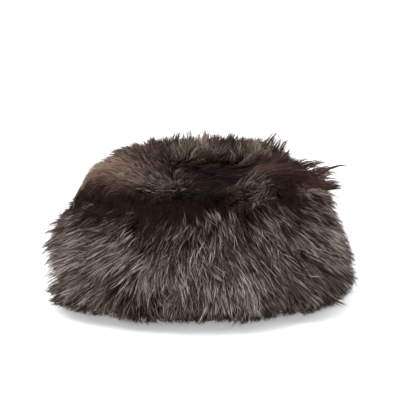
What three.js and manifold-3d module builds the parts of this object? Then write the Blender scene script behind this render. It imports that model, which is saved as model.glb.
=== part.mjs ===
// A deep-piled fur toque: an oval side band and a flat crown, both of pelt,
// each with its own coat of fur whose locks are fused to a dense backing of wool.
// Millimetres. +Z is up, the brow faces -Y, and the hat rests on its rim at Z = 0.
import * as THREE from "three";
import { mergeVertices } from "three/addons/utils/BufferGeometryUtils.js";
import Module from "manifold-3d";

const wasm = await Module();
wasm.setup();

// The pelts
const headWidth = 166; // ear to ear, inside the rim
const headLength = 198; // brow to nape, inside the rim
const peltThickness = 3; // skin and interlining together
const bandHeight = 92; // rim to crown seam
const bandFlare = 6; // how much further out the band stands at the seam
const crownSwell = 7; // rise of the crown's shoulder above its edge
const crownDent = 6; // fall from the shoulder to the crown's middle
const fitGap = 0.3; // left between any two pieces that meet

// The coats
const sidePile = 56; // furthest reach of the side fur from the band
const crownPile = 27; // height of the crown fur over the seam
const crownOverhang = 27; // reach of the crown fur past the seam
const hemSeat = 22; // width of the side fur that lies flat on the ground
const hemLift = 5; // height of the wool's outer edge over the ground
const woolShare = 0.76; // of the pile that is dense wool, under the loose locks

// The locks
const sideLock = { spacing: 50, width: 46, thickness: 16, length: 50 };
const crownLock = { spacing: 51, width: 47, thickness: 15, length: 56 };
const lockWander = 0.34; // random turn and length of a lock, as a share of its own
const tipLift = 1; // least height of a lock's tip over the ground
const rootShare = 0.55; // of a lock's root in its coat, where 0 is the pelt and 1 the outline
const tipShare = 1.05; // of its tip, a little past the outline

// The side coat's outline. Height is a share of the way from the ground to the parting,
// reach of the way from the crown coat's edge to the side coat's furthest.
const sideForm = [
  { height: 0, reach: 0.88 },
  { height: 0.14, reach: 0.98 },
  { height: 0.3, reach: 1 },
  { height: 0.44, reach: 0.82 },
  { height: 0.58, reach: 0.57 },
  { height: 0.75, reach: 0.29 },
  { height: 0.9, reach: 0.08 },
  { height: 1, reach: 0 },
];

// The crown coat's outline, by the share of the way along it from its middle to the parting.
// Radius is a share of the coat's reach, height of crownPile.
const crownForm = [
  { along: 0, radius: 0, height: 0.7 },
  { along: 0.3, radius: 0.34, height: 0.86 },
  { along: 0.5, radius: 0.58, height: 1 },
  { along: 0.68, radius: 0.78, height: 0.97 },
  { along: 0.82, radius: 0.91, height: 0.74 },
  { along: 0.93, radius: 0.98, height: 0.38 },
  { along: 1, radius: 1, height: 0 },
];

// How the coats differ round the hat. Turn is in degrees from the brow towards +X, side and
// crown are shares of the coats' reach there, lift of the crown coat's height, and rise is
// how far the parting climbs from the seam to its outer edge, as a share of crownPile.
const roundForm = [
  { turn: 0, side: 0.98, crown: 0.24, lift: 0.92, rise: 0.68 },
  { turn: 34, side: 0.93, crown: 0.34, lift: 0.96, rise: 0.74 },
  { turn: 56, side: 1.15, crown: 0.72, lift: 1, rise: 0.62 },
  { turn: 90, side: 1.03, crown: 1.1, lift: 1.02, rise: 0.34 },
  { turn: 140, side: 0.98, crown: 1.04, lift: 1.04, rise: 0 },
  { turn: 190, side: 0.98, crown: 0.98, lift: 1.04, rise: -0.1 },
  { turn: 235, side: 1, crown: 0.95, lift: 1, rise: -0.1 },
  { turn: 270, side: 1, crown: 0.88, lift: 0.92, rise: 0 },
  { turn: 300, side: 1.22, crown: 0.66, lift: 0.9, rise: 0.34 },
  { turn: 326, side: 1.14, crown: 0.36, lift: 0.9, rise: 0.6 },
];

// Rows of locks down the side. Height is a share of the coat's, size of sideLock's sizes.
const sideRows = [
  { height: 0.97, size: 0.8 },
  { height: 0.78, size: 0.92 },
  { height: 0.6, size: 1 },
  { height: 0.43, size: 1.06 },
  { height: 0.27, size: 0.98 },
];

// Rings of locks over the crown. Along is as in crownForm, size a share of crownLock's sizes.
const crownRings = [
  { along: 0.04, size: 0.8 },
  { along: 0.26, size: 0.95 },
  { along: 0.48, size: 1 },
  { along: 0.7, size: 0.98 },
];

// Tufts that stand clear of the outline. From and to are along as in crownForm, rise is the
// tip's height over the seam as a share of crownPile.
const crownTufts = [
  { turn: 80, from: 0.62, to: 1, rise: 0.72, size: 1 },
  { turn: 98, from: 0.56, to: 0.88, rise: 0.98, size: 1 },
  { turn: 124, from: 0.42, to: 0.7, rise: 1.16, size: 1 },
  { turn: 148, from: 0.42, to: 0.66, rise: 1.2, size: 0.9 },
  { turn: 206, from: 0.4, to: 0.64, rise: 1.08, size: 1 },
];

const weld = 1e-3; // corners closer than this become one
const ringSteps = 40; // sides of each oval ring
const crownSteps = [0, 0.34, 0.64, 0.84, 1]; // rings of the crown pelt, as shares of its edge
const lockSides = 4; // sides of a lock
// A lock's own shape, root to tip: along is a share of its length, girth of its half width.
const lockForm = [
  { along: 0, girth: 0 },
  { along: 0.25, girth: 1 },
  { along: 0.64, girth: 0.78 },
  { along: 1, girth: 0 },
];

const { lerp, clamp, degToRad, seededRandom, smoothstep } = THREE.MathUtils;
const headHalf = headWidth / 2;
const seamHalf = headHalf + peltThickness + bandFlare; // outside of the band at the seam
const crownTop = bandHeight + fitGap + peltThickness; // upper side of the crown's edge

// A table's column at a place between two rows, joined smoothly.
function read(rows, key, at, column) {
  const next = clamp(rows.findIndex((row) => row[key] >= at), 1, rows.length - 1);
  const [low, high] = [rows[next - 1], rows[next]];
  return lerp(low[column], high[column], smoothstep(at, low[key], high[key]));
}

const fullTurn = [...roundForm, { ...roundForm[0], turn: 360 }];
const roundShare = (turn, column) => read(fullTurn, "turn", ((turn % 360) + 360) % 360, column);

// The head is longer than wide: a ring's half length for its half width, both from the middle.
function halfLength(halfWidth) {
  return halfWidth + ((headLength - headWidth) / 2) * Math.min(1, halfWidth / headHalf);
}

// A point of the hat, by its turn from the brow in degrees, half width and height.
function place(turn, halfWidth, height) {
  const angle = degToRad(turn);
  return new THREE.Vector3(
    Math.sin(angle) * halfWidth,
    -Math.cos(angle) * halfLength(halfWidth),
    height,
  );
}

const bandOutside = (height) =>
  headHalf + peltThickness + bandFlare * clamp(height / bandHeight, 0, 1);

// The two coats part along a surface that runs from the seam to an outer edge.
const edgeReach = (turn) => crownOverhang * roundShare(turn, "crown");
const edgeHeight = (turn) => crownTop + crownPile * roundShare(turn, "rise");

// A point of the parting, at a share of the way out along it.
const onParting = (turn, share) =>
  place(turn, seamHalf + edgeReach(turn) * share, lerp(crownTop, edgeHeight(turn), share));

// A point in the side coat. Share is its height's, and depth runs from 0 at the band to 1
// at the outline.
function inSideCoat(turn, share, depth) {
  const height = share * edgeHeight(turn);
  const fullest = sidePile * roundShare(turn, "side");
  const reach = lerp(edgeReach(turn), fullest, read(sideForm, "height", share, "reach"));
  return place(turn, bandOutside(height) + fitGap + reach * depth, height);
}

// The crown pelt's upper side, at a share of the seam's half width.
function crownSkin(share) {
  const shoulder = smoothstep(1 - share, 0, 0.35) * crownSwell;
  return crownTop + shoulder - crownDent * (1 - smoothstep(share, 0, 0.6));
}

// A point in the crown coat. Depth runs from 0 at the pelt to 1 at the outline.
function inCrownCoat(turn, along, depth) {
  const radius = read(crownForm, "along", Math.min(along, 1), "radius");
  const lift = lerp(1, roundShare(turn, "lift"), smoothstep(radius, 0, 0.5));
  const pile = crownPile * lift * read(crownForm, "along", Math.min(along, 1), "height");
  const climb = (edgeHeight(turn) - crownTop) * smoothstep(radius, 0.7, 1);
  const skin = crownSkin(radius) + fitGap;
  const outline = Math.max(crownTop + pile, crownTop + climb, skin);
  return place(turn, (seamHalf + edgeReach(turn) * depth) * radius, lerp(skin, outline, depth));
}

// A closed surface turned about Z. Point(turn, row) gives each place of the profile.
function turned(rows, point) {
  const profile = rows.map((row, index) => new THREE.Vector2(1, index));
  const round = new THREE.LatheGeometry(profile, ringSteps);
  const position = round.getAttribute("position");
  for (let index = 0; index < position.count; index += 1) {
    const turn = (Math.floor(index / rows.length) % ringSteps) * (360 / ringSteps);
    const at = point(turn, rows[index % rows.length]);
    position.setXYZ(index, at.x, at.y, at.z);
  }
  return round;
}

function toSolid(geometry) {
  const bare = geometry.clone();
  bare.deleteAttribute("normal");
  if (bare.hasAttribute("uv")) bare.deleteAttribute("uv");
  const merged = mergeVertices(bare, weld);
  const corners = merged.index.array;
  const kept = [];
  for (let first = 0; first < corners.length; first += 3) {
    const [a, b, c] = corners.slice(first, first + 3);
    if (a !== b && b !== c && c !== a) kept.push(a, b, c);
  }
  const vertProperties = merged.attributes.position.array;
  return new wasm.Manifold(
    new wasm.Mesh({ numProp: 3, vertProperties, triVerts: new Uint32Array(kept) }),
  );
}

function toGeometry(solid) {
  const { numVert, numProp, vertProperties, triVerts } = solid.getMesh();
  const position = new Float32Array(numVert * 3);
  for (let index = 0; index < numVert; index += 1) {
    position.set(vertProperties.subarray(index * numProp, index * numProp + 3), index * 3);
  }
  const geometry = new THREE.BufferGeometry();
  geometry.setAttribute("position", new THREE.BufferAttribute(position, 3));
  geometry.setIndex(new THREE.BufferAttribute(triVerts, 1));
  geometry.computeVertexNormals();
  return geometry;
}

// A flattened, pointed lock bent from root to tip. Outward is the side its bend stands to.
function lock({ root, tip, outward, width, thickness, bend }) {
  const middle = root.clone().lerp(tip, 0.5).addScaledVector(outward, bend);
  const spine = new THREE.QuadraticBezierCurve3(root, middle, tip);
  const profile = lockForm.map(({ along, girth }) => new THREE.Vector2(girth, along));
  const shape = new THREE.LatheGeometry(profile, lockSides);
  const position = shape.getAttribute("position");
  const point = new THREE.Vector3();
  for (let index = 0; index < position.count; index += 1) {
    point.fromBufferAttribute(position, index);
    const forward = spine.getTangent(point.y);
    const across = outward.clone().cross(forward).normalize();
    const through = across.clone().cross(forward);
    const at = spine
      .getPoint(point.y)
      .addScaledVector(across, (point.x * width) / 2)
      .addScaledVector(through, (point.z * thickness) / 2);
    position.setXYZ(index, at.x, at.y, at.z);
  }
  return toSolid(shape);
}

// A random number from -1 to 1 that stays with a lock's place in its row.
function wander(row, index, use) {
  return seededRandom(7919 * row + 104729 * use + 31 * index + 1) * 2 - 1;
}

// A row of locks round the hat. InCoat(turn, at, depth) gives the places of its coat, where
// from is the roots' place, step the way from root to tip, and last where a tip must end.
function lockRow({ row, inCoat, from, step, last, size, form }) {
  const girth = inCoat(90, from + step / 2, 1).x;
  const count = Math.round((Math.PI * (girth + halfLength(girth))) / (form.spacing * size));
  return Array.from({ length: count }, (_, index) => {
    const turn = ((index + (row % 2) / 2 + lockWander * wander(row, index, 1)) * 360) / count;
    const aside = (lockWander * wander(row, index, 2) * 360) / count;
    const long = 1 + lockWander * wander(row, index, 3);
    const to = step > 0 ? Math.min(from + step * long, last) : Math.max(from + step * long, last);
    const halfway = (from + to) / 2;
    return lock({
      root: inCoat(turn, from, rootShare),
      tip: inCoat(turn + aside, to, tipShare),
      outward: inCoat(turn, halfway, 1).sub(inCoat(turn, halfway, 0)).normalize(),
      width: form.width * size,
      thickness: form.thickness * size,
      bend: form.thickness * 0.5,
    });
  });
}

function bandPelt() {
  const inside = (height) => bandOutside(height) - peltThickness;
  const rows = [
    { halfWidth: inside(0), height: 0 },
    { halfWidth: bandOutside(0), height: 0 },
    { halfWidth: bandOutside(bandHeight), height: bandHeight },
    { halfWidth: inside(bandHeight), height: bandHeight },
    { halfWidth: inside(0), height: 0 },
  ];
  return toSolid(turned(rows, (turn, row) => place(turn, row.halfWidth, row.height)));
}

function crownPelt() {
  const under = crownSteps.map((share) => ({ share, drop: peltThickness }));
  const over = crownSteps.toReversed().map((share) => ({ share, drop: 0 }));
  return toSolid(
    turned([...under, ...over], (turn, { share, drop }) =>
      place(turn, seamHalf * share, crownSkin(share) - drop),
    ),
  );
}

// What lies over the parting, from a distance over it. It keeps the two coats apart.
function overParting(distance) {
  const beyond = 12; // how far the cut runs on, in the parting's own widths
  const high = crownTop + crownPile * beyond * 2;
  const rows = [
    () => place(0, 0, crownTop + distance),
    ...[0, 1, beyond].map((share) => (turn) => {
      const at = onParting(turn, share);
      return at.setZ(at.z + distance);
    }),
    (turn) => onParting(turn, beyond).setZ(high),
    () => place(0, 0, high),
  ];
  return toSolid(turned(rows, (turn, row) => row(turn)));
}

function underGround() {
  const wide = (seamHalf + crownOverhang + sidePile) * 4;
  const deep = bandHeight;
  return toSolid(new THREE.BoxGeometry(wide, wide, deep).translate(0, 0, -deep / 2));
}

function sideWool() {
  const byBand = (height) => (turn) => place(turn, bandOutside(height) + fitGap, height);
  const rows = [
    byBand(0),
    (turn) => place(turn, bandOutside(0) + hemSeat, 0),
    (turn) => inSideCoat(turn, 0, woolShare).setZ(hemLift),
    ...[0.22, 0.4, 0.58, 0.78, 1].map(
      (share) => (turn) => inSideCoat(turn, share, woolShare),
    ),
    byBand(crownTop + fitGap),
    byBand(bandHeight),
    byBand(0),
  ];
  return toSolid(turned(rows, (turn, row) => row(turn)));
}

function sideLocks() {
  const height = edgeHeight(90);
  return sideRows.flatMap(({ height: from, size }, row) =>
    lockRow({
      row,
      inCoat: inSideCoat,
      from,
      step: (-sideLock.length * size) / height,
      last: tipLift / height,
      size,
      form: sideLock,
    }),
  );
}

function crownWool() {
  const under = crownSteps.map(
    (share) => (turn) => place(turn, seamHalf * share, crownSkin(share) + fitGap),
  );
  const edge = (turn) => {
    const at = onParting(turn, woolShare);
    return at.setZ(at.z - fitGap);
  };
  const over = [0.93, 0.82, 0.68, 0.5, 0.3, 0].map(
    (along) => (turn) => inCrownCoat(turn, along, woolShare),
  );
  return toSolid(turned([...under, edge, ...over], (turn, row) => row(turn)));
}

function crownLocks() {
  const length = seamHalf + crownOverhang + crownPile;
  const inRings = crownRings.flatMap(({ along, size }, ring) =>
    lockRow({
      row: sideRows.length + ring,
      inCoat: inCrownCoat,
      from: along,
      step: (crownLock.length * size) / length,
      last: 1,
      size,
      form: crownLock,
    }),
  );
  const tufts = crownTufts.map(({ turn, from, to, rise, size }) =>
    lock({
      root: inCrownCoat(turn, from, rootShare),
      tip: inCrownCoat(turn, to, 1).setZ(crownTop + crownPile * rise),
      outward: new THREE.Vector3(0, 0, 1),
      width: crownLock.width * size,
      thickness: crownLock.thickness * size,
      bend: 0,
    }),
  );
  return [...inRings, ...tufts];
}

const fuse = (backing, locks) => wasm.Manifold.union([backing, ...locks]);

// The outer skin of a solid alone, which closes the pockets that its locks shut in.
function closed(solid) {
  const bodies = toSolid(toGeometry(solid)).decompose();
  return bodies.reduce((most, body) => (body.volume() > most.volume() ? body : most));
}

const sideFur = closed(
  fuse(sideWool(), sideLocks()).subtract(overParting(-fitGap / 2)).subtract(underGround()),
);
const crownFur = closed(fuse(crownWool(), crownLocks()).intersect(overParting(fitGap / 2)));

// name, solid, colour, roughness
const pieces = [
  ["band_pelt", bandPelt(), 0x6b5646, 0.85],
  ["crown_pelt", crownPelt(), 0x6b5646, 0.85],
  ["band_fur", sideFur, 0x5a4f49, 0.9],
  ["crown_fur", crownFur, 0x43352f, 0.9],
];

const hat = new THREE.Group();
for (const [name, solid, color, roughness] of pieces) {
  const material = new THREE.MeshStandardMaterial({ color, roughness, metalness: 0 });
  const mesh = new THREE.Mesh(toGeometry(solid), material);
  mesh.name = name;
  hat.add(mesh);
}

// The origin is under the middle of the hat's outline, on the ground.
const extent = new THREE.Box3().setFromObject(hat, true);
const middle = extent.getCenter(new THREE.Vector3());
hat.position.set(-middle.x, -middle.y, -extent.min.z);

export default hat;
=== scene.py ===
# A deep-piled fur toque. The two pelts come from the frame, and the two coats of fur are
# grown here hair by hair over a dense dark wool. Metres, +Z up, the brow faces -Y.
import math

import bpy
import numpy as np
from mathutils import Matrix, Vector


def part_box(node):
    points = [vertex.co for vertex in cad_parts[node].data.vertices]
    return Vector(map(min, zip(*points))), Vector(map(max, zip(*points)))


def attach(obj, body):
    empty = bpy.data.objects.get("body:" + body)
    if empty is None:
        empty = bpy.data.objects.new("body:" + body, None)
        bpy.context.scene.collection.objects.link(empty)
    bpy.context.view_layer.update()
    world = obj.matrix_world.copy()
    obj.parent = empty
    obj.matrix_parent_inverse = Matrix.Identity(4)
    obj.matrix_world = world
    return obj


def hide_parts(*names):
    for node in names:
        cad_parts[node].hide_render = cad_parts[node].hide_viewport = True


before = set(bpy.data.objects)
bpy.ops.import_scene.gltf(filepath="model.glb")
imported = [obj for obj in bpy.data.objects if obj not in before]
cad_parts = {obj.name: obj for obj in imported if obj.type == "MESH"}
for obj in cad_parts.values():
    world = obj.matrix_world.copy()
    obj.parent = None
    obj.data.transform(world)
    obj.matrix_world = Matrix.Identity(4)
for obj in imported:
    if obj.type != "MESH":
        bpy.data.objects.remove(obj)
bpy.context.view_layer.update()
millimetre = 0.001
chance = np.random.default_rng(57)

# The hat's own sizes, from the frame
bandLow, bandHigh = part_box("band_pelt")
middle = (bandLow + bandHigh) / 2
bandHeight = bandHigh.z
seamHalf = (bandHigh.x - bandLow.x) / 2  # outside of the band at the seam, ear to ear
endStretch = (bandHigh.y - bandLow.y) / 2 - seamHalf  # the oval's extra half length
bandFlare = 6 * millimetre
peltThickness = 3 * millimetre
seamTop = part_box("crown_pelt")[0].z + peltThickness  # upper side of the crown's edge

sideCoat = {
    "reach": 0.056,  # furthest from the band
    "height": [0, 0.14, 0.3, 0.44, 0.58, 0.75, 0.9, 1],  # share of the way from hem to parting
    "fullness": [0.88, 0.98, 1, 0.82, 0.57, 0.29, 0.08, 0],  # of the way from parting to reach
}
crownCoat = {
    "reach": 0.027,  # past the seam
    "pile": 0.027,  # over the seam
    "swell": 0.007,  # the pelt's own shoulder
    "shoulder": 0.35,  # how far in from the seam the swell is full, as a share
    "middle": 0.5,  # inside this share of the way, the lift fades out
    "climbFrom": 0.7,  # from this share of the way, the coat climbs to the parting
    "along": [0, 0.3, 0.5, 0.68, 0.82, 0.93, 1],  # share of the way from middle to parting
    "radius": [0, 0.34, 0.58, 0.78, 0.91, 0.98, 1],
    "height": [0.7, 0.86, 1, 0.97, 0.74, 0.38, 0],
}
parting = {"wide": 0.015, "cut": 0.005, "high": 0.7}  # cut in full where it rises this high
overhang = {  # hair that reaches past the parting
    "bend": 6 * millimetre,  # it turns down over this width
    "fall": 0.8,  # the reach that hangs to the hem, as a share of the parting's height
    "depth": 1.06,  # just outside the side coat
}
aroundHat = {  # how the coats differ round the hat, by the turn from the brow in degrees
    "turn": [0, 34, 56, 90, 140, 190, 235, 270, 300, 326, 360],
    "side": [0.98, 0.93, 1.15, 1.03, 0.98, 0.98, 1, 1, 1.22, 1.14, 0.98],
    "crown": [0.24, 0.34, 0.72, 1.1, 1.04, 0.98, 0.95, 0.88, 0.66, 0.36, 0.24],
    "lift": [0.92, 0.96, 1, 1.02, 1.04, 1.04, 1, 0.92, 0.9, 0.9, 0.92],
    "rise": [0.68, 0.74, 0.62, 0.34, 0, -0.1, -0.1, 0, 0.34, 0.6, 0.68],
}


def smooth(value, low, high):
    share = np.clip((value - low) / (high - low), 0, 1)
    return share * share * (3 - 2 * share)


def eased(at, stops, values):  # a table's column, joined smoothly from row to row
    stops, values = np.asarray(stops, float), np.asarray(values, float)
    row = np.clip(np.searchsorted(stops, at, side="right"), 1, len(stops) - 1)
    share = smooth(at, stops[row - 1], stops[row])
    return values[row - 1] + (values[row] - values[row - 1]) * share


def around(turn, column):
    return eased(np.mod(turn, 360), aroundHat["turn"], aroundHat[column])


def onRing(turn, halfWidth, height):  # a point of the hat
    angle = np.radians(turn)
    halfLength = halfWidth + endStretch * np.minimum(1, halfWidth / seamHalf)
    x = middle.x + np.sin(angle) * halfWidth
    y = middle.y - np.cos(angle) * halfLength
    return np.stack(np.broadcast_arrays(x, y, height), axis=-1)


def partingReach(turn):
    return crownCoat["reach"] * around(turn, "crown")


def partingHeight(turn):
    return seamTop + crownCoat["pile"] * around(turn, "rise")


def inSideCoat(turn, share, depth):  # depth is 0 at the band and 1 at the coat's outline
    height = share * partingHeight(turn)
    edge = partingReach(turn)
    fullness = eased(share, sideCoat["height"], sideCoat["fullness"])
    reach = edge + (sideCoat["reach"] * around(turn, "side") - edge) * fullness
    band = seamHalf - bandFlare * (1 - np.clip(height / bandHeight, 0, 1))
    return onRing(turn, band + reach * depth, height)


def turnAndHalfWidth(x, y):  # the other way round, from a place in plan
    across, back = x - middle.x, y - middle.y
    halfWidth = np.hypot(across, back)
    for _ in range(4):  # each round brings it closer
        stretch = 1 + endStretch / np.maximum(halfWidth, seamHalf)
        halfWidth = np.hypot(across, back / stretch)
    return np.degrees(np.arctan2(across, -back / stretch)), halfWidth


def inCrownCoat(x, y, depth, droop):  # depth is 0 at the pelt and 1 at the coat's outline
    turn, halfWidth = turnAndHalfWidth(x, y)
    edge = seamHalf + partingReach(turn)
    share = halfWidth / edge
    along = eased(np.minimum(share, 1), crownCoat["radius"], crownCoat["along"])
    lift = 1 + (around(turn, "lift") - 1) * smooth(share, 0, crownCoat["middle"])
    pile = crownCoat["pile"] * lift * eased(along, crownCoat["along"], crownCoat["height"])
    climb = (partingHeight(turn) - seamTop) * smooth(share, crownCoat["climbFrom"], 1)
    skin = crownCoat["swell"] * smooth(1 - halfWidth / seamHalf, 0, crownCoat["shoulder"])
    beyond = np.clip((halfWidth - seamHalf) / partingReach(turn), 0, 1)
    floor = skin + (partingHeight(turn) - seamTop) * beyond
    height = seamTop + floor + (np.maximum(np.maximum(pile, climb), floor) - floor) * depth
    # past the parting the hair hangs over the side coat, as far as it droops
    past = np.maximum(halfWidth - edge, 0)
    fallen = np.clip(1 - past / (overhang["fall"] * partingHeight(turn)), 0, 1)
    hung = inSideCoat(turn, fallen, overhang["depth"])
    straight = np.stack(np.broadcast_arrays(x, y, height), axis=-1)
    weight = (droop * smooth(past, 0, overhang["bend"]))[..., None]
    points = straight + (hung - straight) * weight
    # the parting's edge is rounded where it stands high
    near = np.exp(-(((halfWidth - edge) / parting["wide"]) ** 2))
    cut = parting["cut"] * near * np.clip(around(turn, "rise") / parting["high"], 0, 1) * depth
    angle = np.radians(turn)
    inward = np.stack([-np.sin(angle), np.cos(angle), -np.ones_like(angle)], axis=-1)
    return points + inward * cut[..., None]


print("frame read: seam at", round(seamTop, 4), "half width", round(seamHalf, 4))


waveCount = 5  # sine waves that make up a drift


def wander(points, wavelength):  # a value that drifts smoothly from place to place
    waves = chance.normal(size=(waveCount, 3))
    waves *= 2 * math.pi / wavelength / np.linalg.norm(waves, axis=1, keepdims=True)
    starts = chance.uniform(0, 2 * math.pi, waveCount)
    return np.sin(points @ waves.T + starts).sum(axis=1) / (waveCount / 2)


def unit(vectors):
    return vectors / np.maximum(np.linalg.norm(vectors, axis=-1, keepdims=True), 1e-9)


# Hair that stands in locks. Every hair is a closed needle of three sides, thickest at its
# rings and drawn to a point at both ends.
needle = {
    "stops": [0, 0.42, 0.75, 1],  # root, rings and tip, as shares of the hair's length
    "girths": [1, 0.68],  # at the rings, as shares of its width
    "corners": [90, 210, 330],
    "mapWidth": 0.002,  # between its corners on the map
    "mapLow": 0.001,
    "mapHigh": 0.999,
}


def makeHair(name, paths, outward, width, tone, material):
    # paths holds a row of points for each hair: its root, its rings and its tip
    hairs = len(paths)
    rings = len(needle["girths"])
    vertices = np.empty((hairs, 3 * rings + 2, 3))
    vertices[:, 0], vertices[:, -1] = paths[:, 0], paths[:, -1]
    for ring in range(rings):
        forward = unit(paths[:, ring + 2] - paths[:, ring])
        across = unit(np.cross(outward, forward))
        upward = np.cross(forward, across)
        for side, angle in enumerate(np.radians(needle["corners"])):
            away = across * math.cos(angle) + upward * math.sin(angle)
            reach = (width * needle["girths"][ring] / 2)[:, None]
            vertices[:, 1 + 3 * ring + side] = paths[:, ring + 1] + away * reach
    last = 3 * rings + 1
    faces = []
    for side in range(3):
        after = (side + 1) % 3
        faces.append([0, 1 + after, 1 + side])
        for ring in range(rings - 1):
            low, high = 1 + 3 * ring, 4 + 3 * ring
            faces.append([low + side, low + after, high + after, high + side])
        faces.append([last - 3 + side, last - 3 + after, last])
    sizes = np.tile([len(face) for face in faces], hairs)
    pattern = np.concatenate(faces)
    loops = (pattern[None, :] + (last + 1) * np.arange(hairs)[:, None]).ravel()
    mesh = bpy.data.meshes.new(name)
    mesh.vertices.add(hairs * (last + 1))
    mesh.vertices.foreach_set("co", vertices.astype(np.float32).ravel())
    mesh.loops.add(len(loops))
    mesh.loops.foreach_set("vertex_index", loops.astype(np.int32))
    mesh.polygons.add(len(sizes))
    starts = np.concatenate([[0], np.cumsum(sizes)[:-1]])
    mesh.polygons.foreach_set("loop_start", starts.astype(np.int32))
    mesh.polygons.foreach_set("loop_total", sizes.astype(np.int32))
    mesh.polygons.foreach_set("use_smooth", np.ones(len(sizes), bool))
    mesh.update(calc_edges=True)
    # the hair's own map: its tone across, and the way from root to tip upwards
    along = np.concatenate([[0], np.repeat(needle["stops"][1:-1], 3), [1]])[pattern]
    across = np.concatenate([[0], np.tile([-1, 0, 1], rings), [0]])[pattern]
    across = tone[:, None] + needle["mapWidth"] * across
    hairMap = np.stack(np.broadcast_arrays(across, along[None, :]), axis=-1)
    hairMap = np.clip(hairMap, needle["mapLow"], needle["mapHigh"]).astype(np.float32)
    mesh.uv_layers.new(name="OFBake").data.foreach_set("uv", hairMap.ravel())
    mesh.materials.append(material)
    piece = bpy.data.objects.new(name, mesh)
    bpy.context.scene.collection.objects.link(piece)
    return piece


def linear(code):  # an sRGB hex colour, made linear
    channels = [int(code[at : at + 2], 16) / 255 for at in (1, 3, 5)]
    return [c / 12.92 if c <= 0.04045 else ((c + 0.055) / 1.055) ** 2.4 for c in channels] + [1]


def addNode(tree, kind, links=None, **settings):
    node = tree.nodes.new(kind)
    for name, value in settings.items():
        setattr(node, name, value)
    for name, value in (links or {}).items():
        if isinstance(value, bpy.types.NodeSocket):
            tree.links.new(value, node.inputs[name])
        else:
            node.inputs[name].default_value = value
    return node


def setRamp(node, stops):
    elements = node.color_ramp.elements
    while len(elements) < len(stops):
        elements.new(1)
    for element, (position, code) in zip(elements, stops):
        element.position = position
        element.color = linear(code)


def newMaterial(name):
    material = bpy.data.materials.new(name)
    material.use_nodes = True
    material.node_tree.nodes.clear()
    return material, material.node_tree


# Fox guard hair: keratin with a dull shine, grey-brown in the left half of its map and warm
# brown in the right, darker at the root and at the very tip.
guardHair = {
    "greyFrom": 0.01,
    "warmFrom": 0.52,
    "halfMap": 0.46,  # width of each half
    "tones": [
        (0, "#1f1715"), (0.1, "#312522"), (0.2, "#483a35"), (0.32, "#7a6d65"),
        (0.44, "#c4b9b0"), (0.5, "#d8cfc8"), (0.52, "#281c1a"), (0.62, "#3e2d28"),
        (0.74, "#634e44"), (0.87, "#9c8575"), (1, "#ccb9a7"),
    ],
    "fade": [
        (0, "#3a3533"), (0.35, "#a8a39f"), (0.55, "#ffffff"), (0.9, "#ffffff"), (1, "#8c8682"),
    ],
    "roughness": 0.55,
    "ior": 1.55,
    "gloss": 0.04,
}


def hairMaterial(name):
    material, tree = newMaterial(name)
    place = addNode(tree, "ShaderNodeUVMap", uv_map="OFBake").outputs["UV"]
    parts = addNode(tree, "ShaderNodeSeparateXYZ", {"Vector": place})
    tones = addNode(tree, "ShaderNodeValToRGB", {"Fac": parts.outputs["X"]})
    setRamp(tones, guardHair["tones"])
    fade = addNode(tree, "ShaderNodeValToRGB", {"Fac": parts.outputs["Y"]})
    setRamp(fade, guardHair["fade"])
    colour = addNode(tree, "ShaderNodeMix", data_type="RGBA", blend_type="MULTIPLY")
    colour.inputs["Factor"].default_value = 1
    tree.links.new(tones.outputs["Color"], colour.inputs["A"])
    tree.links.new(fade.outputs["Color"], colour.inputs["B"])
    shader = addNode(
        tree,
        "ShaderNodeBsdfPrincipled",
        {
            "Base Color": colour.outputs["Result"],
            "Roughness": guardHair["roughness"],
            "IOR": guardHair["ior"],
            "Specular IOR Level": guardHair["gloss"],
        },
    )
    addNode(tree, "ShaderNodeOutputMaterial", {"Surface": shader.outputs["BSDF"]})
    return material


sideHairFinish = hairMaterial("foxGuardHairSide")
crownHairFinish = hairMaterial("foxGuardHairCrown")


def mapTone(tone, warm):  # where a hair's colour lies in the map of tones
    start = np.where(warm, guardHair["warmFrom"], guardHair["greyFrom"])
    return start + guardHair["halfMap"] * tone


def comb(table, at, spread):  # a table of combed places, read by nearness
    columns = dict(zip(table["columns"], np.array(table["rows"], float).T))
    distance = sum((columns[key][None, :] - value[:, None]) ** 2 for key, value in at)
    weight = np.exp(-distance / (2 * spread**2)) + 1e-12  # so that no place is without weight
    weight /= weight.sum(axis=1, keepdims=True)
    read = {key: weight @ columns[key] for key in columns if key not in dict(at)}
    if "heading" in columns:
        angle = np.radians(columns["heading"])
        read["heading"] = np.degrees(np.arctan2(weight @ np.sin(angle), weight @ np.cos(angle)))
    return read


def eachHair(spec, values):  # a lock's value, repeated for each of its hairs
    return np.repeat(values, spec["hairs"])


hairMix = {  # how tones differ between the locks and between the hairs of a lock
    "drift": 0.06,
    "driftOver": 0.04,  # metres
    "driftFrom": 0.25,  # locks darker than this drift less
    "mood": 0.35,  # how far the pale hairs flock together
    "moodOver": 0.028,  # metres
    "moodSpread": 0.45,
    "dark": (0.25, 1),  # a dark hair, as a share of its lock's tone
    "paleBase": 0.45,
    "pale": (0.35, 0.95),  # a pale hair, as a share of its lock's tone over the base
    "mean": 0.65,  # the hairs of an even lock, as a share of its tone
    "meanBase": 0.5,  # over which they are pale
    "darkGirth": 0.85,
    "paleGirth": 0.25,  # how much thicker a pale hair is
}


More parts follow.
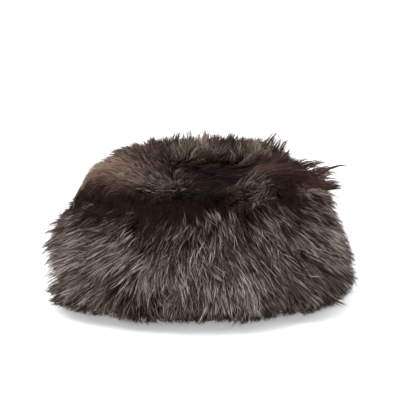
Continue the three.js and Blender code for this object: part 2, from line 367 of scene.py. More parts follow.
def hairTones(spec, combed, place, count):
    # some locks are mostly pale and some mostly dark, and each hair is one or the other
    drift = hairMix["drift"] * wander(place, hairMix["driftOver"])
    drift = drift + chance.normal(0, spec["toneSpread"], len(place))
    tone = combed["tone"] + drift * smooth(combed["tone"], 0, hairMix["driftFrom"])
    tone = np.clip(tone, 0, 1)
    mood = 1 + hairMix["mood"] * wander(place, hairMix["moodOver"])
    mood = mood + chance.normal(0, hairMix["moodSpread"], len(place))
    pale = chance.uniform(size=count) < eachHair(spec, combed["pale"] * np.clip(mood, 0, 2))
    shade = eachHair(spec, tone) * chance.uniform(*hairMix["dark"], count)
    tint = hairMix["paleBase"] + eachHair(spec, tone) * chance.uniform(*hairMix["pale"], count)
    warm = chance.uniform(size=count) < eachHair(spec, combed["warm"])
    single = np.where(pale, tint, shade)
    share, mean = combed["pale"], hairMix["mean"]
    mixed = (1 - share) * mean * tone + share * (hairMix["meanBase"] + mean * tone)
    mixed = eachHair(spec, mixed)
    even = eachHair(spec, combed["even"]) if "even" in combed else spec["even"]
    return pale, np.clip(single + (mixed - single) * even, 0, 1), warm


def hairWidths(spec, count):  # each hair is a little thicker or thinner than the next
    spread, thinnest, thickest = spec["widths"]
    return spec["width"] * np.clip(1 + chance.normal(0, spread, count), thinnest, thickest)


def byTone(width, pale):  # the pale hairs are the thicker ones
    return width * (hairMix["darkGirth"] + hairMix["paleGirth"] * pale)


evenSteps = (0.7548777, 0.5698403)  # one over the plastic number, and over its square


def spreadEvenly(count):  # two shares for each lock, which fill a square without a pattern
    order = np.arange(count)
    return order * evenSteps[0] % 1, order * evenSteps[1] % 1


def swayed(spec, place, lie):  # the lie of the locks drifts from place to place
    for amount, over in spec["sway"]:
        lie = lie + amount * wander(place, over)
    return lie


def singleLengths(spec, long, tips, count):  # a few stray hairs stand out longer
    within = spec["withinLock"]
    stray = chance.uniform(size=count) < spec["stray"]
    longer = 1 + chance.normal(0, within["long"], count) + spec["strayLonger"] * stray
    tips = eachHair(spec, tips) + chance.normal(0, within["tips"], count)
    return eachHair(spec, long) * longer, tips + spec["strayProud"] * stray


def alongHair(spec, stop, lie, curl):  # its direction, its lock's width and its rise at a stop
    angle = np.radians(lie + curl * (stop - 1) / 2)
    kept = 1 - (1 - spec["gather"]) * stop ** spec["gatherEarly"]
    return angle, kept, 1 - (1 - stop) ** spec["flatten"]


sideComb = {  # slant is in degrees from straight down, towards +X at the brow
    "from": -120,  # the turn at which the table starts
    "columns": ("turn", "share", "slant", "tone", "pale", "warm", "proud"),
    "rows": [
        (-112, 50, -14, 0.55, 0.42, 0.05, -0.12),
        (-92, 14, -20, 0.4, 0.3, 0.05, -0.24),
        (-82, 94, -44, 0.08, 0.02, 0.6, 0.06),
        (-78, 76, -50, 0.62, 0.5, 0.08, 0.2),
        (-80, 56, -46, 0.5, 0.38, 0.08, 0.05),
        (-78, 34, -34, 0.8, 0.58, 0.1, -0.26),
        (-64, 97, -48, 0.06, 0, 0.6, 0.04),
        (-62, 86, -50, 0.34, 0.26, 0.2, 0.06),
        (-60, 70, -46, 0.62, 0.46, 0.1, 0.04),
        (-56, 50, -34, 0.74, 0.56, 0.1, 0),
        (-58, 32, -30, 0.58, 0.45, 0.07, -0.08),
        (-54, 16, -28, 0.36, 0.28, 0.15, 0.17),
        (-42, 100, -44, 0.05, 0, 0.6, 0),
        (-42, 90, -42, 0.05, 0, 0.6, 0),
        (-42, 79, -40, 0.8, 0.6, 0.08, 0),
        (-38, 70, -34, 0.64, 0.5, 0.08, 0),
        (-42, 54, -38, 0.58, 0.46, 0.07, 0),
        (-34, 46, -17, 0.36, 0.3, 0.07, 0),
        (-40, 26, -28, 0.58, 0.44, 0.05, -0.04),
        (-28, 26, 6, 0.34, 0.3, 0.05, -0.14),
        (-28, 92, -26, 0.05, 0, 0.6, 0),
        (-26, 81, -26, 0.66, 0.52, 0.07, 0),
        (-18, 96, -14, 0.06, 0, 0.6, 0),
        (-17, 84, -14, 0.04, 0, 0.3, 0),
        (-17, 77, -16, 0.2, 0.12, 0.2, 0),
        (-22, 66, -22, 0.46, 0.38, 0.06, 0),
        (-20, 46, 22, 0.74, 0.58, 0.03, 0),
        (-16, 30, 44, 0.4, 0.34, 0.03, -0.26),
        (-11, 74, -12, 0.5, 0.42, 0.07, 0),
        (-11, 56, 8, 0.58, 0.46, 0.05, 0),
        (-8, 36, 20, 0.3, 0.28, 0.05, -0.16),
        (-5, 97, 0, 0.3, 0.2, 0.15, 0),
        (-3, 84, 4, 0.58, 0.48, 0.1, 0),
        (-2, 62, -2, 0.64, 0.5, 0.03, 0),
        (-2, 46, -8, 0.7, 0.54, 0.03, 0),
        (0, 28, -34, 0.36, 0.3, 0.03, -0.26),
        (7, 84, 14, 0.44, 0.36, 0.07, 0),
        (9, 68, 14, 0.4, 0.32, 0.05, 0),
        (7, 46, 6, 0.56, 0.44, 0.03, 0),
        (13, 42, 4, 0.8, 0.58, 0.01, 0),
        (14, 97, 16, 0.26, 0.2, 0.1, 0),
        (20, 84, 12, 0.3, 0.24, 0.07, 0),
        (20, 60, 8, 0.42, 0.34, 0.04, 0),
        (30, 96, 22, 0.24, 0.18, 0.07, 0),
        (32, 76, 4, 0.56, 0.44, 0.05, 0),
        (34, 54, 8, 0.44, 0.38, 0.03, 0),
        (34, 30, 8, 0.38, 0.32, 0.03, 0),
        (43, 98, 18, 0.04, 0.01, 0.5, -0.04),
        (44, 82, 16, 0.34, 0.28, 0.1, 0),
        (50, 62, 16, 0.48, 0.42, 0.06, 0),
        (42, 38, 12, 0.46, 0.36, 0.03, -0.02),
        (56, 94, 34, 0.42, 0.34, 0.15, 0.02),
        (64, 78, 30, 0.38, 0.3, 0.15, 0.02),
        (68, 56, 30, 0.54, 0.42, 0.07, 0),
        (56, 30, 14, 0.37, 0.3, 0.05, 0.1),
        (74, 92, 28, 0.42, 0.32, 0.2, 0.02),
        (84, 62, 20, 0.56, 0.44, 0.07, 0),
        (100, 30, 14, 0.5, 0.4, 0.05, -0.08),
        # the hem: darker tones here are painted shade where the coat nears the ground; several
        # rows at share 26 to 36 are darkened a little for the same painted shade
        (-30, 6, -6, 0.24, 0.14, 0.1, -0.12),
        (0, 6, -6, 0.24, 0.14, 0.1, -0.34),
        (30, 6, 8, 0.24, 0.14, 0.1, -0.02),
        (55, 8, 24, 0.16, 0.12, 0.2, 0.22),
        (80, 8, 16, 0.2, 0.16, 0.2, 0.1),
        (125, 60, 10, 0.54, 0.42, 0.05, 0),
        (155, 40, 4, 0.6, 0.46, 0.05, 0),
        (180, 70, 0, 0.52, 0.42, 0.05, 0),
        (180, 8, 0, 0.3, 0.26, 0.05, -0.1),
        (205, 40, -4, 0.6, 0.46, 0.05, 0),
        (230, 60, -10, 0.54, 0.42, 0.05, 0),
    ],
}

sideHair = {
    "locks": 2300,
    "hairs": 19,  # in a lock
    "lowest": 0.12,  # the roots' heights, as shares of the coat's
    "highest": 0.96,
    "rootSpread": 9,  # how widely the table is read, at the root and at the middle of the hair
    "middleSpread": 8,
    "hem": (0.045, 0.13),  # where the lowest tips end
    "shortest": 0.15,  # the least that the hem leaves of a hair
    "lowestTip": 0.003,  # as a share of the coat's height
    "offGround": 0.4 * millimetre,
    "tuck": 0.34,  # how far the tips draw in towards the hem
    "tuckHeight": 0.2,
    "rootDepth": 0.48,
    "tipDepth": 1.0,
    "length": 0.026,
    "girth": 0.145,  # from hem to parting, over the coat
    "topCut": 0.45,  # how much shorter the hair is at the parting
    "topFrom": 0.72,  # it gets shorter from this height
    "lockWidth": 0.005,
    "gather": 0.3,  # what is left of a lock's width at its tips
    "gatherEarly": 0.8,  # below 1 it gathers near the root
    "flatten": 1.4,
    "sway": [(8, 0.05), (19, 0.018)],  # degrees, and over how many metres
    "curl": 34,
    "curlOver": 0.035,  # metres
    "amongLocks": {"slant": 11, "curl": 16, "long": 0.15, "tips": 0.06},
    "withinLock": {"slant": 10, "curl": 20, "long": 0.16, "tips": 0.03},
    "stray": 0.05,  # share of hairs that stand out
    "strayLonger": 0.3,
    "strayProud": 0.07,
    "width": 0.0007,
    "widths": (0.25, 0.5, 1.6),  # spread, thinnest and thickest
    "toneSpread": 0.1,
    "even": 0.12,
}


def growSide(spec):
    locks, among, within = spec["locks"], spec["amongLocks"], spec["withinLock"]
    turn, share = spreadEvenly(locks)
    turn = turn * 360
    share = spec["lowest"] + (spec["highest"] - spec["lowest"]) * share
    place = inSideCoat(turn, share, 1)
    nearest = np.mod(turn - sideComb["from"], 360) + sideComb["from"]
    combed = comb(sideComb, [("turn", nearest), ("share", share * 100)], spec["rootSpread"])
    # read once more where the middle of the hair comes to lie
    angle = np.radians(combed["slant"])
    cropped = 1 - spec["topCut"] * smooth(share, spec["topFrom"], 1)
    half = spec["length"] / 2 * cropped
    aside = np.degrees(half * np.sin(angle) / np.linalg.norm(place[:, :2], axis=1))
    below = half * np.cos(angle) / spec["girth"]
    at = [("turn", nearest + aside), ("share", (share - below) * 100)]
    combed = comb(sideComb, at, spec["middleSpread"])
    slant = swayed(spec, place, combed["slant"]) + chance.normal(0, among["slant"], locks)
    curl = spec["curl"] * wander(place, spec["curlOver"]) + chance.normal(0, among["curl"], locks)
    long = spec["length"] * (1 + chance.normal(0, among["long"], locks)) * cropped
    tips = spec["tipDepth"] + combed["proud"] + chance.normal(0, among["tips"], locks)
    count = locks * spec["hairs"]
    pale, tone, warm = hairTones(spec, combed, place, count)
    turn, share, slant, curl = (eachHair(spec, values) for values in (turn, share, slant, curl))
    aside, above = chance.normal(0, spec["lockWidth"] / 2, (2, count))
    long, tips = singleLengths(spec, long, tips, count)
    slant = slant + chance.normal(0, within["slant"], count)
    curl = curl + chance.normal(0, within["curl"], count)
    # how many metres of the coat lie in a degree and in a whole share of its height
    perTurn = np.linalg.norm(inSideCoat(turn + 1, share, 1) - inSideCoat(turn, share, 1), axis=1)
    probe = 0.04
    upper, lower = np.minimum(share + probe, 1), np.maximum(share - probe, 0)
    slope = inSideCoat(turn, upper, 1) - inSideCoat(turn, lower, 1)
    perShare = np.linalg.norm(slope, axis=1) / (upper - lower)
    # the lowest hairs are cut off by the ground, at a ragged hem
    drop = long * np.cos(np.radians(slant)) / perShare
    room = share + above / perShare - chance.uniform(*spec["hem"], count)
    long = long * np.clip(room / np.maximum(drop, 1e-6), spec["shortest"], 1)
    paths = []
    for stop in needle["stops"]:
        angle, kept, rise = alongHair(spec, stop, slant, curl)
        sideways = aside * kept + long * stop * np.sin(angle)
        downwards = -above * kept + long * stop * np.cos(angle)
        depth = spec["rootDepth"] + (tips - spec["rootDepth"]) * rise
        height = np.clip(share - downwards / perShare, spec["lowestTip"], 1)
        depth = depth * (1 - spec["tuck"] * (1 - smooth(height, 0, spec["tuckHeight"])))
        paths.append(inSideCoat(turn + sideways / perTurn, height, depth))
    paths = np.stack(paths, axis=1)
    paths[..., 2] = np.maximum(paths[..., 2], spec["offGround"])
    outward = unit(inSideCoat(turn, share, 1) - inSideCoat(turn, share, 0))
    return paths, outward, byTone(hairWidths(spec, count), pale), mapTone(tone, warm), turn


crownComb = {  # x, y, lift and long in mm, heading in degrees from +X towards the back
    "columns": (
        "x", "y", "heading", "tone", "pale", "warm", "lift", "curl", "long", "droop", "even",
    ),
    "rows": [
        # smooth tan hair that flows to the left
        (-48, 26, 176, 0.46, 0.36, 0.8, 3, 24, 24, 1, 0.45),
        (-66, 22, 184, 0.72, 0.52, 0.95, -1, 14, 32, 1, 0.6),
        (-90, 22, 186, 0.74, 0.54, 0.95, -17, 18, 26, 1, 0.6),
        (-54, 62, 172, 0.48, 0.36, 0.7, -1.5, 12, 24, 1, 0.6),
        (-84, 66, 164, 0.56, 0.42, 0.8, -16, 20, 20, 1, 0.6),
        (-98, 2, 194, 0.62, 0.46, 0.9, -17, 18, 22, 1, 0.6),
        (-76, -2, 192, 0.56, 0.42, 0.9, -3, 8, 28, 1, 0.6),
        (-56, -10, 198, 0.52, 0.4, 0.8, 0, 16, 26, 1, 0.6),
        (-62, -26, 204, 0.54, 0.42, 0.7, 0, 10, 24, 1, 0.6),
        (-44, -38, 216, 0.54, 0.44, 0.6, 2, 16, 22, 1, 0.6),
        (-43, 44, 150, 0.34, 0.26, 0.5, 4, 90, 11, 1, 0.3),
        (-42, 8, 190, 0.4, 0.3, 0.5, 4, 60, 12, 1, 0.3),
        (-43, -18, 214, 0.46, 0.36, 0.5, 4, 60, 12, 1, 0.3),
        # the dark brow
        (-102, -24, 206, 0.1, 0, 0.7, -4, 6, 16, 1, 0.85),
        (-86, -34, 212, 0.05, 0, 0.7, -3, 6, 20, 1, 0.85),
        (-72, -56, 220, 0.08, 0, 0.9, -5, 6, 20, 1, 0.85),
        (-50, -66, 234, 0.08, 0, 0.9, -6, 6, 20, 1, 0.85),
        (-86, -80, 222, 0.04, 0, 0.7, 0, 6, 20, 1, 0.85),
        (-62, -96, 232, 0.08, 0, 0.9, 0, 6, 20, 1, 0.85),
        (-42, -104, 246, 0.08, 0, 0.9, 0, 6, 22, 1, 0.85),
        (-28, -86, 252, 0.08, 0, 0.9, -5, 6, 20, 1, 0.85),
        (-18, -112, 258, 0.08, 0, 0.9, 0, 8, 20, 1, 0.85),
        (0, -98, 268, 0.07, 0, 0.7, -5, 8, 18, 1, 0.85),
        (6, -114, 272, 0.06, 0, 0.6, 0, 8, 18, 1, 0.85),
        (26, -112, 284, 0.1, 0, 0.3, 0, 10, 18, 1, 0.85),
        # the curly ridge
        (-34, 58, 110, 0.28, 0.2, 0.3, 4, 70, 12, 1, 0.3),
        (-34, 26, 240, 0.3, 0.24, 0.4, 4, 90, 12, 1, 0.3),
        (-32, -2, 262, 0.32, 0.26, 0.3, 4, 80, 12, 1, 0.3),
        (-32, -30, 268, 0.56, 0.46, 0.2, 4, 90, 15, 1, 0.3),
        (-28, -50, 276, 0.62, 0.5, 0.1, 3, 80, 14, 1, 0.3),
        (-18, -46, 318, 0.22, 0.16, 0.1, 3, 50, 16, 1, 0.3),
        # the black hollow
        (-8, 22, 300, 0.06, 0.02, 0.4, -8, 20, 16, 1, 0.6),
        (20, 26, 300, 0.04, 0.02, 0.4, -9, 20, 18, 1, 0.6),
        (2, 4, 295, 0.03, 0.01, 0.4, -10, 20, 18, 1, 0.6),
        (32, 15, 320, 0.04, 0.01, 0.5, -8, 20, 18, 1, 0.6),
        (-4, -18, 290, 0.02, 0, 0.4, -11, 12, 18, 1, 0.6),
        (20, -16, 290, 0.01, 0, 0.4, -12, 12, 20, 1, 0.6),
        (0, -46, 280, 0.01, 0, 0.4, -12, 12, 18, 1, 0.6),
        (22, -44, 290, 0.01, 0, 0.4, -12, 12, 18, 1, 0.6),
        (-4, -74, 276, 0.05, 0, 0.5, -8, 12, 16, 1, 0.6),
        (19, -84, 276, 0.02, 0, 0.5, -5, 12, 14, 1, 0.6),
        (36, -17, 330, 0.01, 0, 0.4, -9, 20, 20, 1, 0.6),
        (53, -20, 345, 0.02, 0, 0.5, -8, 8, 22, 1, 0.6),
        # the rear ridge
        (-24, 92, 84, 0.28, 0.18, 0.3, -1, 80, 11, 1, 0.35),
        (-6, 62, 60, 0.56, 0.44, 0.4, 2.5, 100, 11, 1, 0.35),
        (-2, 96, 70, 0.5, 0.4, 0.4, -1, 80, 10, 1, 0.35),
        (12, 66, 50, 0.7, 0.54, 0.5, 2.5, 80, 11, 1, 0.35),
        (12, 48, 30, 0.12, 0.05, 0.3, -3, 60, 10, 1, 0.35),
        (30, 82, 60, 0.1, 0.03, 0.9, 2.5, 40, 12, 1, 0.35),
        (31, 60, 60, 0.16, 0.06, 0.7, 1.5, 40, 12, 1, 0.35),
        (44, 46, 56, 0.68, 0.56, 0.2, 2.5, 80, 12, 0.7, 0.35),
        (52, 60, 56, 0.64, 0.54, 0.3, 4.5, 70, 12, 0.7, 0.35),
        (52, 88, 64, 0.34, 0.22, 0.5, 3.5, 30, 12, 1, 0.35),
        (68, 50, 56, 0.46, 0.32, 0.8, 2.5, 30, 13, 0.5, 0.35),
        (80, 42, 60, 0.42, 0.22, 1, -3, 20, 12, 0.5, 0.35),
        (62, 22, 40, 0.16, 0.05, 0.8, -1.5, 25, 12, 0.5, 0.35),
        (88, 66, 60, 0.34, 0.2, 0.8, -20, 20, 12, 0.8, 0.35),
        (100, 40, 30, 0.3, 0.16, 0.8, -15, 10, 10, 0.8, 0.35),
        # the smooth brown sweep to the right
        # the first two rows are lighter: brown hair with a painted highlight where the smooth
        # sweep catches the light
        (48, 1, 0, 0.6, 0.34, 1, -3, 4, 26, 0.3, 0.8),
        (58, -4, 0, 0.42, 0.14, 1, -3, 4, 28, 0.2, 0.8),
        (76, 3, 2, 0.26, 0.08, 1, -3, 4, 28, 0.1, 0.8),
        (102, 14, 4, 0.2, 0.08, 0.95, -7, 6, 17, 0.05, 0.8),
        (78, -20, 354, 0.14, 0.04, 0.95, -3, 4, 30, 0.2, 0.8),
        (106, -14, 352, 0.24, 0.08, 0.9, 2, 5, 20, 0.05, 0.8),
        (70, -36, 344, 0.05, 0.01, 0.6, -4, 8, 28, 0.6, 0.8),
        # the grizzled corner
        (40, -56, 330, 0.36, 0.3, 0.15, 1, 60, 13, 1, 0.1),
        (36, -60, 326, 0.34, 0.28, 0.15, 0, 60, 13, 1, 0.1),
        (38, -82, 318, 0.28, 0.22, 0.15, 0, 40, 14, 1, 0.1),
        (49, -62, 320, 0.3, 0.24, 0.15, 1, 60, 13, 1, 0.1),
        (46, -78, 316, 0.3, 0.24, 0.15, 1, 60, 13, 1, 0.1),
        (53, -86, 312, 0.26, 0.2, 0.15, 0, 60, 13, 1, 0.1),
        (46, -98, 306, 0.28, 0.22, 0.1, 0, 60, 13, 1, 0.1),
        (73, -63, 306, 0.03, 0.01, 0.5, -4, 10, 16, 1, 0.4),
        (102, -44, 332, 0.44, 0.34, 0.3, 3, 14, 18, 0.4, 0.4),
        # the far side
        (-60, 106, 118, 0.44, 0.34, 0.3, -2, 20, 18, 1, 0.4),
        (0, 122, 90, 0.44, 0.34, 0.3, 0, 20, 20, 1, 0.4),
        (60, 106, 62, 0.42, 0.32, 0.4, -4, 20, 18, 1, 0.4),
    ],
}

crownHair = {
    "locks": 2700,
    "hairs": 13,
    "outermost": 0.95,  # roots end here, as a share of the way to the parting
    "rootSpread": 9,  # how widely the table is read, in mm
    "rootDepth": 0.34,
    "tipDepth": 1.0,
    "lockWidth": 0.0042,
    "gather": 0.4,
    "gatherEarly": 0.8,
    "flatten": 1.4,
    "swirl": 0.4,  # drift of the heading for each degree of curl
    "sway": [(5, 0.05)],  # degrees, and over how many metres
    "curlOver": 0.03,  # metres
    "amongLocks": {"heading": 6, "headingByCurl": 0.4, "curl": 0.5, "long": 0.2, "tips": 0.02},
    "withinLock": {"heading": 6, "headingByCurl": 0.22, "curl": 10, "long": 0.16, "tips": 0.06},
    "layers": 0.0028,  # how much further in the tips end for each degree of curl
    "ruffle": 0.0009,  # uneven height of the locks
    "ruffleCurl": 20,  # the curl that doubles it
    "stray": 0.05,
    "strayLonger": 0.3,
    "strayProud": 0.1,
    "width": 0.00066,
    "widths": (0.25, 0.5, 1.6),
    "toneSpread": 0.05,
}


def growCrown(spec):
    locks, among, within = spec["locks"], spec["amongLocks"], spec["withinLock"]
    turn, radius = spreadEvenly(locks)
    turn = turn * 360
    radius = np.sqrt(radius) * spec["outermost"]
    place = onRing(turn, (seamHalf + partingReach(turn)) * radius, seamTop)
    at = [("x", place[:, 0] / millimetre), ("y", place[:, 1] / millimetre)]
    combed = comb(crownComb, at, spec["rootSpread"])
    curliness = combed["curl"]
    heading = combed["heading"] + spec["swirl"] * curliness * wander(place, spec["curlOver"])
    heading = swayed(spec, place, heading)
    heading += chance.normal(0, 1, locks) * (among["heading"] + among["headingByCurl"] * curliness)
    curl = curliness * (wander(place, spec["curlOver"]) + chance.normal(0, among["curl"], locks))
    long = combed["long"] * millimetre * (1 + chance.normal(0, among["long"], locks))
    # curly hair ends at all heights, smooth hair close to the outline
    layered = among["tips"] + spec["layers"] * curliness
    tips = spec["tipDepth"] - np.abs(chance.normal(0, 1, locks)) * layered
    count = locks * spec["hairs"]
    pale, tone, warm = hairTones(spec, combed, place, count)
    centreX, centreY = eachHair(spec, place[:, 0]), eachHair(spec, place[:, 1])
    asideX, asideY = chance.normal(0, spec["lockWidth"] / 2, (2, count))
    loose = within["heading"] + within["headingByCurl"] * eachHair(spec, curliness)
    heading = eachHair(spec, heading) + chance.normal(0, 1, count) * loose
    curl = eachHair(spec, curl) + chance.normal(0, within["curl"], count)
    long, tips = singleLengths(spec, long, tips, count)
    ruffled = spec["ruffle"] * (1 + curliness / spec["ruffleCurl"]) * chance.normal(size=locks)
    lift = eachHair(spec, combed["lift"] * millimetre + ruffled)
    droop = eachHair(spec, combed["droop"])
    paths = []
    for stop in needle["stops"]:
        angle, kept, rise = alongHair(spec, stop, heading, curl)
        x = centreX + asideX * kept + long * stop * np.cos(angle)
        y = centreY + asideY * kept + long * stop * np.sin(angle)
        depth = spec["rootDepth"] + (tips - spec["rootDepth"]) * rise
        points = inCrownCoat(x, y, depth, droop)
        points[:, 2] += lift * stop
        paths.append(points)
    paths = np.stack(paths, axis=1)
    outward = np.broadcast_to([0.0, 0.0, 1.0], (count, 3))
    width = byTone(hairWidths(spec, count), pale)
    return paths, outward, width, mapTone(tone, warm), eachHair(spec, turn)


def addHairPieces(grown, names, node, material):  # a piece for each side of the hat
    turn, values = grown[-1], grown[:-1]
    sector = 360 / len(names)
    sectors = np.floor(np.mod(turn + sector / 2, 360) / sector).astype(int)
    for index, name in enumerate(names):
        chosen = sectors == index
        piece = makeHair(name, *(value[chosen] for value in values), material)
        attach(piece, "root")
        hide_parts(node)
        print(name, chosen.sum(), "hairs", chosen.sum() * 6 * len(needle["girths"]), "triangles")


addHairPieces(
    growSide(sideHair),
    ["side_hair_front", "side_hair_right", "side_hair_back", "side_hair_left"],
    "band_fur",
    sideHairFinish,
)
addHairPieces(
    growCrown(crownHair),
    ["crown_hair_front", "crown_hair_right", "crown_hair_back", "crown_hair_left"],
    "crown_fur",
    crownHairFinish,
)

tufts = {  # roots, tips and spread at the root in mm, of locks that stand clear of the outline
    "columns": (
        "rootX", "rootY", "rootZ", "tipX", "tipY", "tipZ", "spread", "tone", "pale", "warm",
    ),
    "rows": [
        (62, 58, 108, 80, 84, 134, 4.5, 0.4, 0.24, 0.8),
        (68, 52, 108, 84, 70, 130, 4.5, 0.4, 0.3, 0.8),
        (74, 44, 106, 90, 62, 131, 4.5, 0.4, 0.24, 0.9),
        (78, 34, 106, 92, 50, 124, 1.2, 0.36, 0.2, 0.9),
        (84, 20, 106, 114, 26, 118, 3, 0.3, 0.12, 0.9),
        (92, 12, 108, 128, 18, 119, 2.2, 0.3, 0.14, 0.9),
        (98, 4, 106, 132, 10, 115, 4, 0.3, 0.14, 0.8),
        (106, -4, 107, 146, 2, 120, 1.2, 0.36, 0.3, 0.6),
        (102, -6, 103, 138, -2, 112, 3, 0.3, 0.2, 0.7),
        (102, -10, 100, 141, -8, 106, 3, 0.34, 0.24, 0.6),
        (100, -16, 97, 137, -14, 100, 4, 0.34, 0.24, 0.6),
        (100, -22, 92, 139, -20, 92, 4, 0.36, 0.26, 0.5),
        (100, 0, 104, 127, 3, 110, 7, 0.3, 0.14, 0.7),
        (98, -8, 100, 129, -7, 104, 7, 0.3, 0.16, 0.6),
        (98, -15, 95, 131, -14, 97, 7, 0.32, 0.2, 0.6),
        (-110, -26, 62, -152, -24, 57, 3, 0.4, 0.3, 0.3),
        (-112, -22, 52, -155, -20, 42, 3.5, 0.4, 0.3, 0.3),
        (-108, -28, 70, -150, -26, 65, 3, 0.4, 0.3, 0.3),
    ],
    "hairs": 36,
    "reach": (0.55, 1),  # of a hair, as a share of the way from root to tip
    "gather": 0.12,
    "bow": 0.005,  # how far it arches upwards
    "even": 0.3,
    "width": 0.00058,
    "widths": (0.2, 0.5, 1.5),
    "toneSpread": 0.05,
}


def growTufts(spec):
    columns = dict(zip(spec["columns"], np.array(spec["rows"], float).T))
    root = np.stack([columns[key] for key in ("rootX", "rootY", "rootZ")], axis=1) * millimetre
    tip = np.stack([columns[key] for key in ("tipX", "tipY", "tipZ")], axis=1) * millimetre
    count = len(root) * spec["hairs"]
    _, tone, warm = hairTones(spec, columns, root, count)
    root, tip = np.repeat(root, spec["hairs"], axis=0), np.repeat(tip, spec["hairs"], axis=0)
    spread = eachHair(spec, columns["spread"])[:, None] * millimetre
    aside = chance.normal(0, 1, (count, 3)) * spread
    reach = chance.uniform(*spec["reach"], count)[:, None]
    paths = []
    for stop in needle["stops"]:
        at = stop * reach
        points = root + (tip - root) * at + aside * (1 - (1 - spec["gather"]) * at)
        points[:, 2] += (4 * spec["bow"] * at * (1 - at))[:, 0]
        paths.append(points)
    paths = np.stack(paths, axis=1)
    outward = np.broadcast_to([0.0, 0.0, 1.0], (count, 3))
    return paths, outward, hairWidths(spec, count), mapTone(tone, warm)


tuftHair = growTufts(tufts)
onCrown = tuftHair[0][:, 0, 0] > 0
for name, chosen, node, material in (
    ("side_tufts", ~onCrown, "band_fur", sideHairFinish),
    ("crown_tufts", onCrown, "crown_fur", crownHairFinish),
):
    piece = makeHair(name, *(value[chosen] for value in tuftHair), material)
    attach(piece, "root")
    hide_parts(node)
    print(name, chosen.sum(), "hairs")


# Dense underfur: soft matt wool, its dark brown kept nearly black as painted shade between the
# hairs.
underfurAndPaintedShade = {
    "clump": 0.004,  # metres, across a clump of the wool
    "detail": 4.0,
    # painted shade: these near-black tones stand for the shadow between the hairs as well as the
    # wool's own dark brown
    "tones": [(0.35, "#0d0706"), (0.7, "#1e1310")],
    "relief": 0.002,
    "roughness": 0.95,
    "gloss": 0.02,
}


def woolAndShadeMaterial(name):
    material, tree = newMaterial(name)
    place = addNode(tree, "ShaderNodeTexCoord").outputs["Object"]
    clumps = addNode(
        tree,
        "ShaderNodeTexNoise",
        {"Vector": place, "Scale": 1 / underfurAndPaintedShade["clump"], "Detail": underfurAndPaintedShade["detail"]},
    ).outputs["Fac"]
    colour = addNode(tree, "ShaderNodeValToRGB", {"Fac": clumps})
    setRamp(colour, underfurAndPaintedShade["tones"])
    bump = addNode(tree, "ShaderNodeBump", {"Height": clumps, "Distance": underfurAndPaintedShade["relief"]})
    shader = addNode(
        tree,
        "ShaderNodeBsdfPrincipled",
        {
            "Base Color": colour.outputs["Color"],
            "Roughness": underfurAndPaintedShade["roughness"],
            "Specular IOR Level": underfurAndPaintedShade["gloss"],
            "Normal": bump.outputs["Normal"],
        },
    )
    addNode(tree, "ShaderNodeOutputMaterial", {"Surface": shader.outputs["BSDF"]})
    return material


def deselectAll():
    bpy.ops.object.select_all(action="DESELECT")


def shapeMesh(piece, place):  # moves every corner of a fresh primitive to its place
    mesh = piece.data
    corners = np.empty(len(mesh.vertices) * 3, np.float32)
    mesh.vertices.foreach_get("co", corners)
    moved = place(corners.reshape(-1, 3).astype(float))
    mesh.vertices.foreach_set("co", moved.astype(np.float32).ravel())
    mesh.update()


sideWool = {  # a ring round the band
    "depth": 0.5,  # of the way from the band to the coat's outline
    "inside": 0.02,  # the same, where it lies against the band
    "rounding": 0.2,  # share of its height over which the bottom draws in
    "lowest": 0.05,
    "highest": 0.92,
    "turns": 160,
    "rows": 28,
}


def addSideWool(spec):
    deselectAll()
    bpy.ops.mesh.primitive_torus_add(
        major_radius=1, minor_radius=0.5, major_segments=spec["turns"], minor_segments=spec["rows"]
    )
    piece = bpy.context.object
    piece.name = "side_wool"

    def place(corners):
        turn = np.degrees(np.arctan2(corners[:, 0], -corners[:, 1]))
        radius = np.hypot(corners[:, 0], corners[:, 1]) - 1
        angle = np.arctan2(corners[:, 2], radius)  # 0 faces outwards, a quarter turn up is the top
        # the outer half of the ring follows the coat, the inner half the band
        outer = np.abs(angle) <= math.pi / 2
        share = np.clip(0.5 + angle / math.pi, 0, 1)
        fromInside = np.where(angle > 0, math.pi - angle, -math.pi - angle)
        inner = np.clip(0.5 + fromInside / math.pi, 0, 1)
        height = np.where(outer, share, inner)
        height = spec["lowest"] + (spec["highest"] - spec["lowest"]) * height
        rounded = 0.5 + 0.5 * smooth(share, 0, spec["rounding"])
        depth = np.where(outer, spec["depth"] * rounded, spec["inside"])
        return inSideCoat(turn, height, depth)

    shapeMesh(piece, place)
    return piece


crownWool = {  # a cushion over the crown's pelt
    "depth": 0.3,  # of the way from the pelt to the coat's outline
    "under": 0.04,  # the same, on its lower side
    "past": 0.2,  # of the way from the seam to the parting
    "dentSpread": 15,  # how widely the comb table's lift is read, in mm
    "turns": 120,
    "rows": 40,
}


def addCrownWool(spec):
    deselectAll()
    bpy.ops.mesh.primitive_uv_sphere_add(radius=1, segments=spec["turns"], ring_count=spec["rows"])
    piece = bpy.context.object
    piece.name = "crown_wool"

    def place(corners):
        turn = np.degrees(np.arctan2(corners[:, 0], -corners[:, 1]))
        angle = np.arcsin(np.clip(corners[:, 2], -1, 1))
        radius = 1 - np.abs(angle) / (math.pi / 2)
        reach = (seamHalf + partingReach(turn) * spec["past"]) * radius
        flat = onRing(turn, reach, seamTop)
        over = inCrownCoat(flat[:, 0], flat[:, 1], spec["depth"], 0)
        under = inCrownCoat(flat[:, 0], flat[:, 1], spec["under"], 0)
        points = np.where((angle > 0)[:, None], over, under)
        at = [("x", points[:, 0] / millimetre), ("y", points[:, 1] / millimetre)]
        dent = comb(crownComb, at, spec["dentSpread"])["lift"] * millimetre
        points[:, 2] += np.where(angle > 0, dent, 0)
        points[:, 2] = np.maximum(points[:, 2], under[:, 2])
        return points

    shapeMesh(piece, place)
    return piece


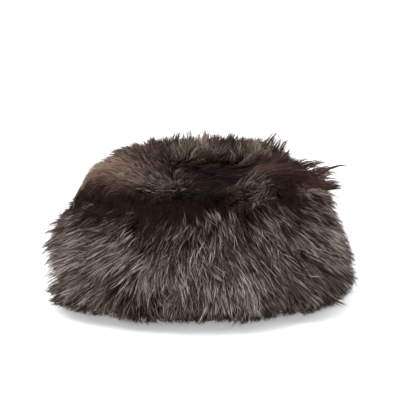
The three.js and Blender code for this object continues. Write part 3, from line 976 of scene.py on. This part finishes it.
for wool, node, slot in (
    (addSideWool(sideWool), "band_fur", "side_fur"),
    (addCrownWool(crownWool), "crown_fur", "crown_fur"),
):
    wool.data.materials.append(woolAndShadeMaterial(wool.name + "Wool"))
    deselectAll()
    wool.select_set(True)
    bpy.context.view_layer.objects.active = wool
    bpy.ops.object.shade_smooth()
    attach(wool, "root")
    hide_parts(node)
print("wool made")


# Sueded skin side of the pelts: a short matt nap, rubbed lighter in places.
suedeSkin = {
    "nap": (0.0012, 6.0),  # metres across, and detail
    "rub": (0.025, 3.0),
    "tones": [(0.75, "#54422f"), (1, "#7d6549")],
    "relief": 0.0006,
    "roughness": 0.9,
    "sheen": 0.3,
}


def suedeMaterial():
    material, tree = newMaterial("suedePelt")
    place = addNode(tree, "ShaderNodeTexCoord").outputs["Object"]
    nap, rub = (
        addNode(
            tree, "ShaderNodeTexNoise", {"Vector": place, "Scale": 1 / size, "Detail": detail}
        ).outputs["Fac"]
        for size, detail in (suedeSkin["nap"], suedeSkin["rub"])
    )
    mixed = addNode(tree, "ShaderNodeMath", {0: nap, 1: rub}, operation="ADD")
    colour = addNode(tree, "ShaderNodeValToRGB", {"Fac": mixed.outputs["Value"]})
    setRamp(colour, suedeSkin["tones"])
    bump = addNode(tree, "ShaderNodeBump", {"Height": nap, "Distance": suedeSkin["relief"]})
    shader = addNode(
        tree,
        "ShaderNodeBsdfPrincipled",
        {
            "Base Color": colour.outputs["Color"],
            "Roughness": suedeSkin["roughness"],
            "Sheen Weight": suedeSkin["sheen"],
            "Normal": bump.outputs["Normal"],
        },
    )
    addNode(tree, "ShaderNodeOutputMaterial", {"Surface": shader.outputs["BSDF"]})
    return material


suede = suedeMaterial()
for node in ("band_pelt", "crown_pelt"):
    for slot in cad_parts[node].material_slots:
        slot.material = suede
print("pelts finished")

# Studio: a pale floor, a white surround, a large soft key and a weak fill
studio = {
    "floor": 14.0,
    "floorColour": "#fbfbfb",
    "floorRoughness": 0.9,
    "glow": 0.36,  # of the floor, so that it stays as pale as the surround
    "surround": 1.16,
    "aim": (0, 0, 0.06),  # of both lights
    "lights": [  # name, place, width and power
        ("keyLight", (-0.6, -1.2, 1.9), 1.0, 20),
        ("fillLight", (1.4, -0.9, 0.9), 1.2, 5),
    ],
}
deselectAll()
bpy.ops.mesh.primitive_plane_add(size=studio["floor"], location=(0, 0, 0))
floor = bpy.context.object
floor.name = "floor"
floorFinish, floorTree = newMaterial("paleFloor")
floorShader = addNode(
    floorTree,
    "ShaderNodeBsdfPrincipled",
    {
        "Base Color": linear(studio["floorColour"]),
        "Roughness": studio["floorRoughness"],
        "Emission Color": linear("#ffffff"),
        "Emission Strength": studio["glow"],
    },
)
addNode(floorTree, "ShaderNodeOutputMaterial", {"Surface": floorShader.outputs["BSDF"]})
floor.data.materials.append(floorFinish)

for name, place, width, power in studio["lights"]:
    light = bpy.data.lights.new(name, "AREA")
    light.shape = "DISK"
    light.size = width
    light.energy = power
    lamp = bpy.data.objects.new(name, light)
    lamp.location = place
    towards = Vector(studio["aim"]) - Vector(place)
    lamp.rotation_euler = towards.to_track_quat("-Z", "Y").to_euler()
    bpy.context.scene.collection.objects.link(lamp)
world = bpy.data.worlds.new("studioSurround")
world.use_nodes = True
surround = world.node_tree.nodes["Background"]
surround.inputs["Color"].default_value = (1, 1, 1, 1)
surround.inputs["Strength"].default_value = studio["surround"]
bpy.context.scene.world = world
bpy.context.scene.view_settings.view_transform = "Standard"

view = {
    "elevation": 16,  # degrees
    "distance": 1.91,
    "lens": 180,  # the lens and the sensor in mm
    "sensor": 36,
    "aim": (0.0019, 0, 0.0864),
}
cameraData = bpy.data.cameras.new("photoCamera")
cameraData.lens = view["lens"]
cameraData.sensor_width = view["sensor"]
camera = bpy.data.objects.new("photoCamera", cameraData)
elevation = math.radians(view["elevation"])
away = Vector((0, -math.cos(elevation), math.sin(elevation)))
camera.location = Vector(view["aim"]) + away * view["distance"]
camera.rotation_euler = (-away).to_track_quat("-Z", "Y").to_euler()
bpy.context.scene.collection.objects.link(camera)
bpy.context.scene.camera = camera
print("studio ready")
